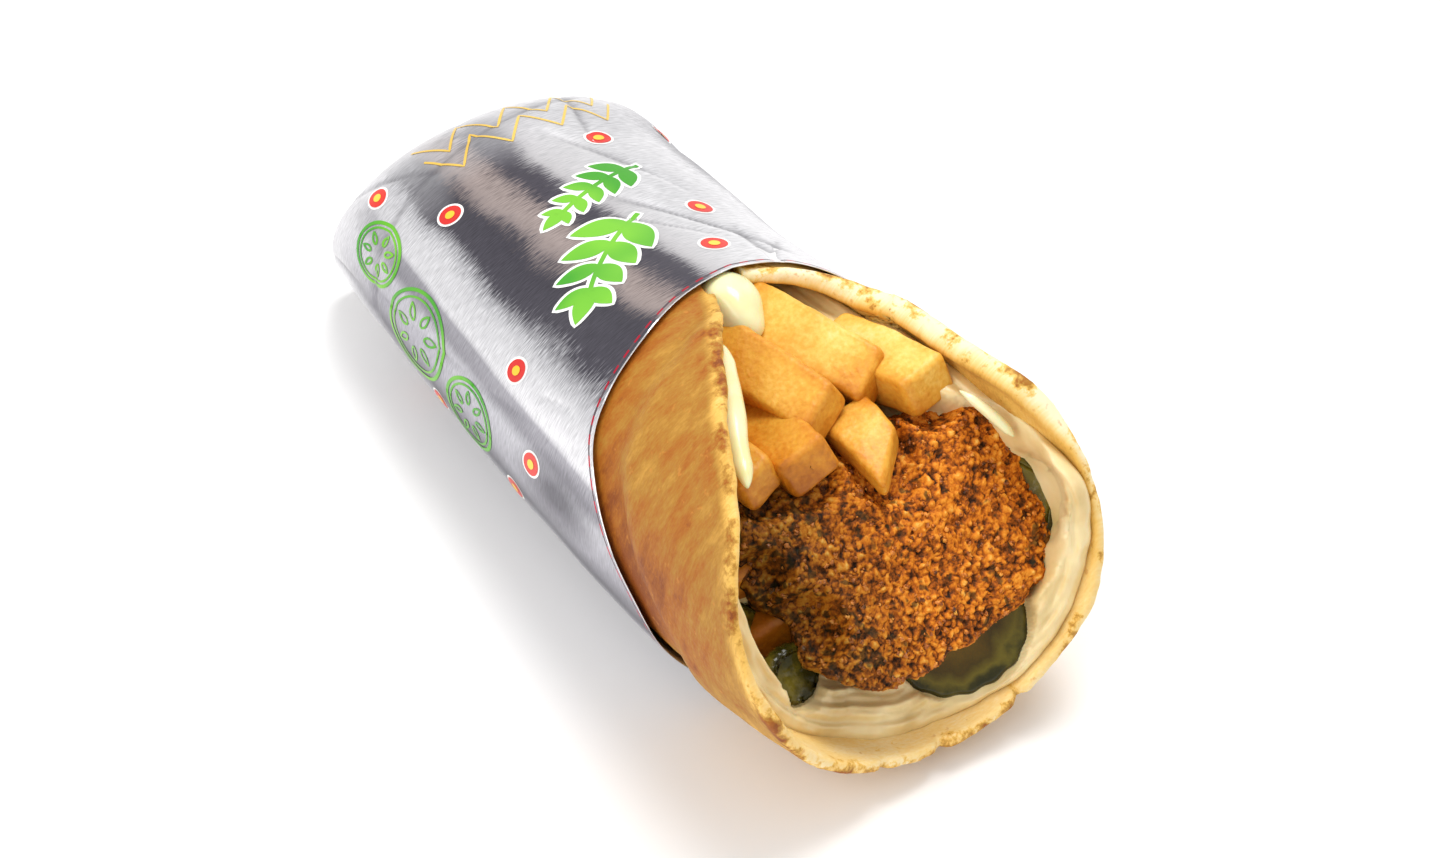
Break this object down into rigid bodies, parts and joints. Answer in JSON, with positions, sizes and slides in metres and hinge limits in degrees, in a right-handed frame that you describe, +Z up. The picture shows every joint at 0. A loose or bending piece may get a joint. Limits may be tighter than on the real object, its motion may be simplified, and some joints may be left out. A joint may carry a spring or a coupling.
{
  "type": "falafel sandwich",
  "caption": "Falafel wrap: toasted flatbread rolled round sesame cream, a falafel patty, fries and pickle slices, held in a foil-paper sleeve with an open mouth.",
  "frame": {"origin": "on the table, under the middle of the whole sandwich", "axes": "+X along the roll towards its open mouth, +Z up, +Y to the side with the higher bread wall"},
  "size_m": [0.1916, 0.0865, 0.0724],
  "materials": {
    "foil_paper": "paper-backed foil, satin, finely brushed and creased",
    "flatbread": "toasted flatbread, matte with brown toast marks",
    "sesame_cream": "thick sesame cream, wet and softly glossy",
    "falafel": "coarse fried crumb, rough with dark specks",
    "fried_potato": "fried potato, golden with a thin oily crust",
    "pickled_cucumber": "pickled cucumber, wet and glossy",
    "garlic_mayonnaise": "garlic mayonnaise, smooth and glossy"
  },
  "bodies": {
    "root": {"wrapper": "foil_paper", "bread": "flatbread", "cream": "sesame_cream", "falafel_patty": "falafel", "fry_1": "fried_potato", "fry_2": "fried_potato", "fry_3": "fried_potato", "fry_4": "fried_potato", "fry_5": "fried_potato", "fry_6": "fried_potato", "fry_7": "fried_potato", "fry_8": "fried_potato", "pickle_1": "pickled_cucumber", "pickle_2": "pickled_cucumber", "pickle_3": "pickled_cucumber", "pickle_4": "pickled_cucumber", "mayo_dollop": "garlic_mayonnaise", "mayo_left": "garlic_mayonnaise", "mayo_right": "garlic_mayonnaise"}
  },
  "joints": []
}
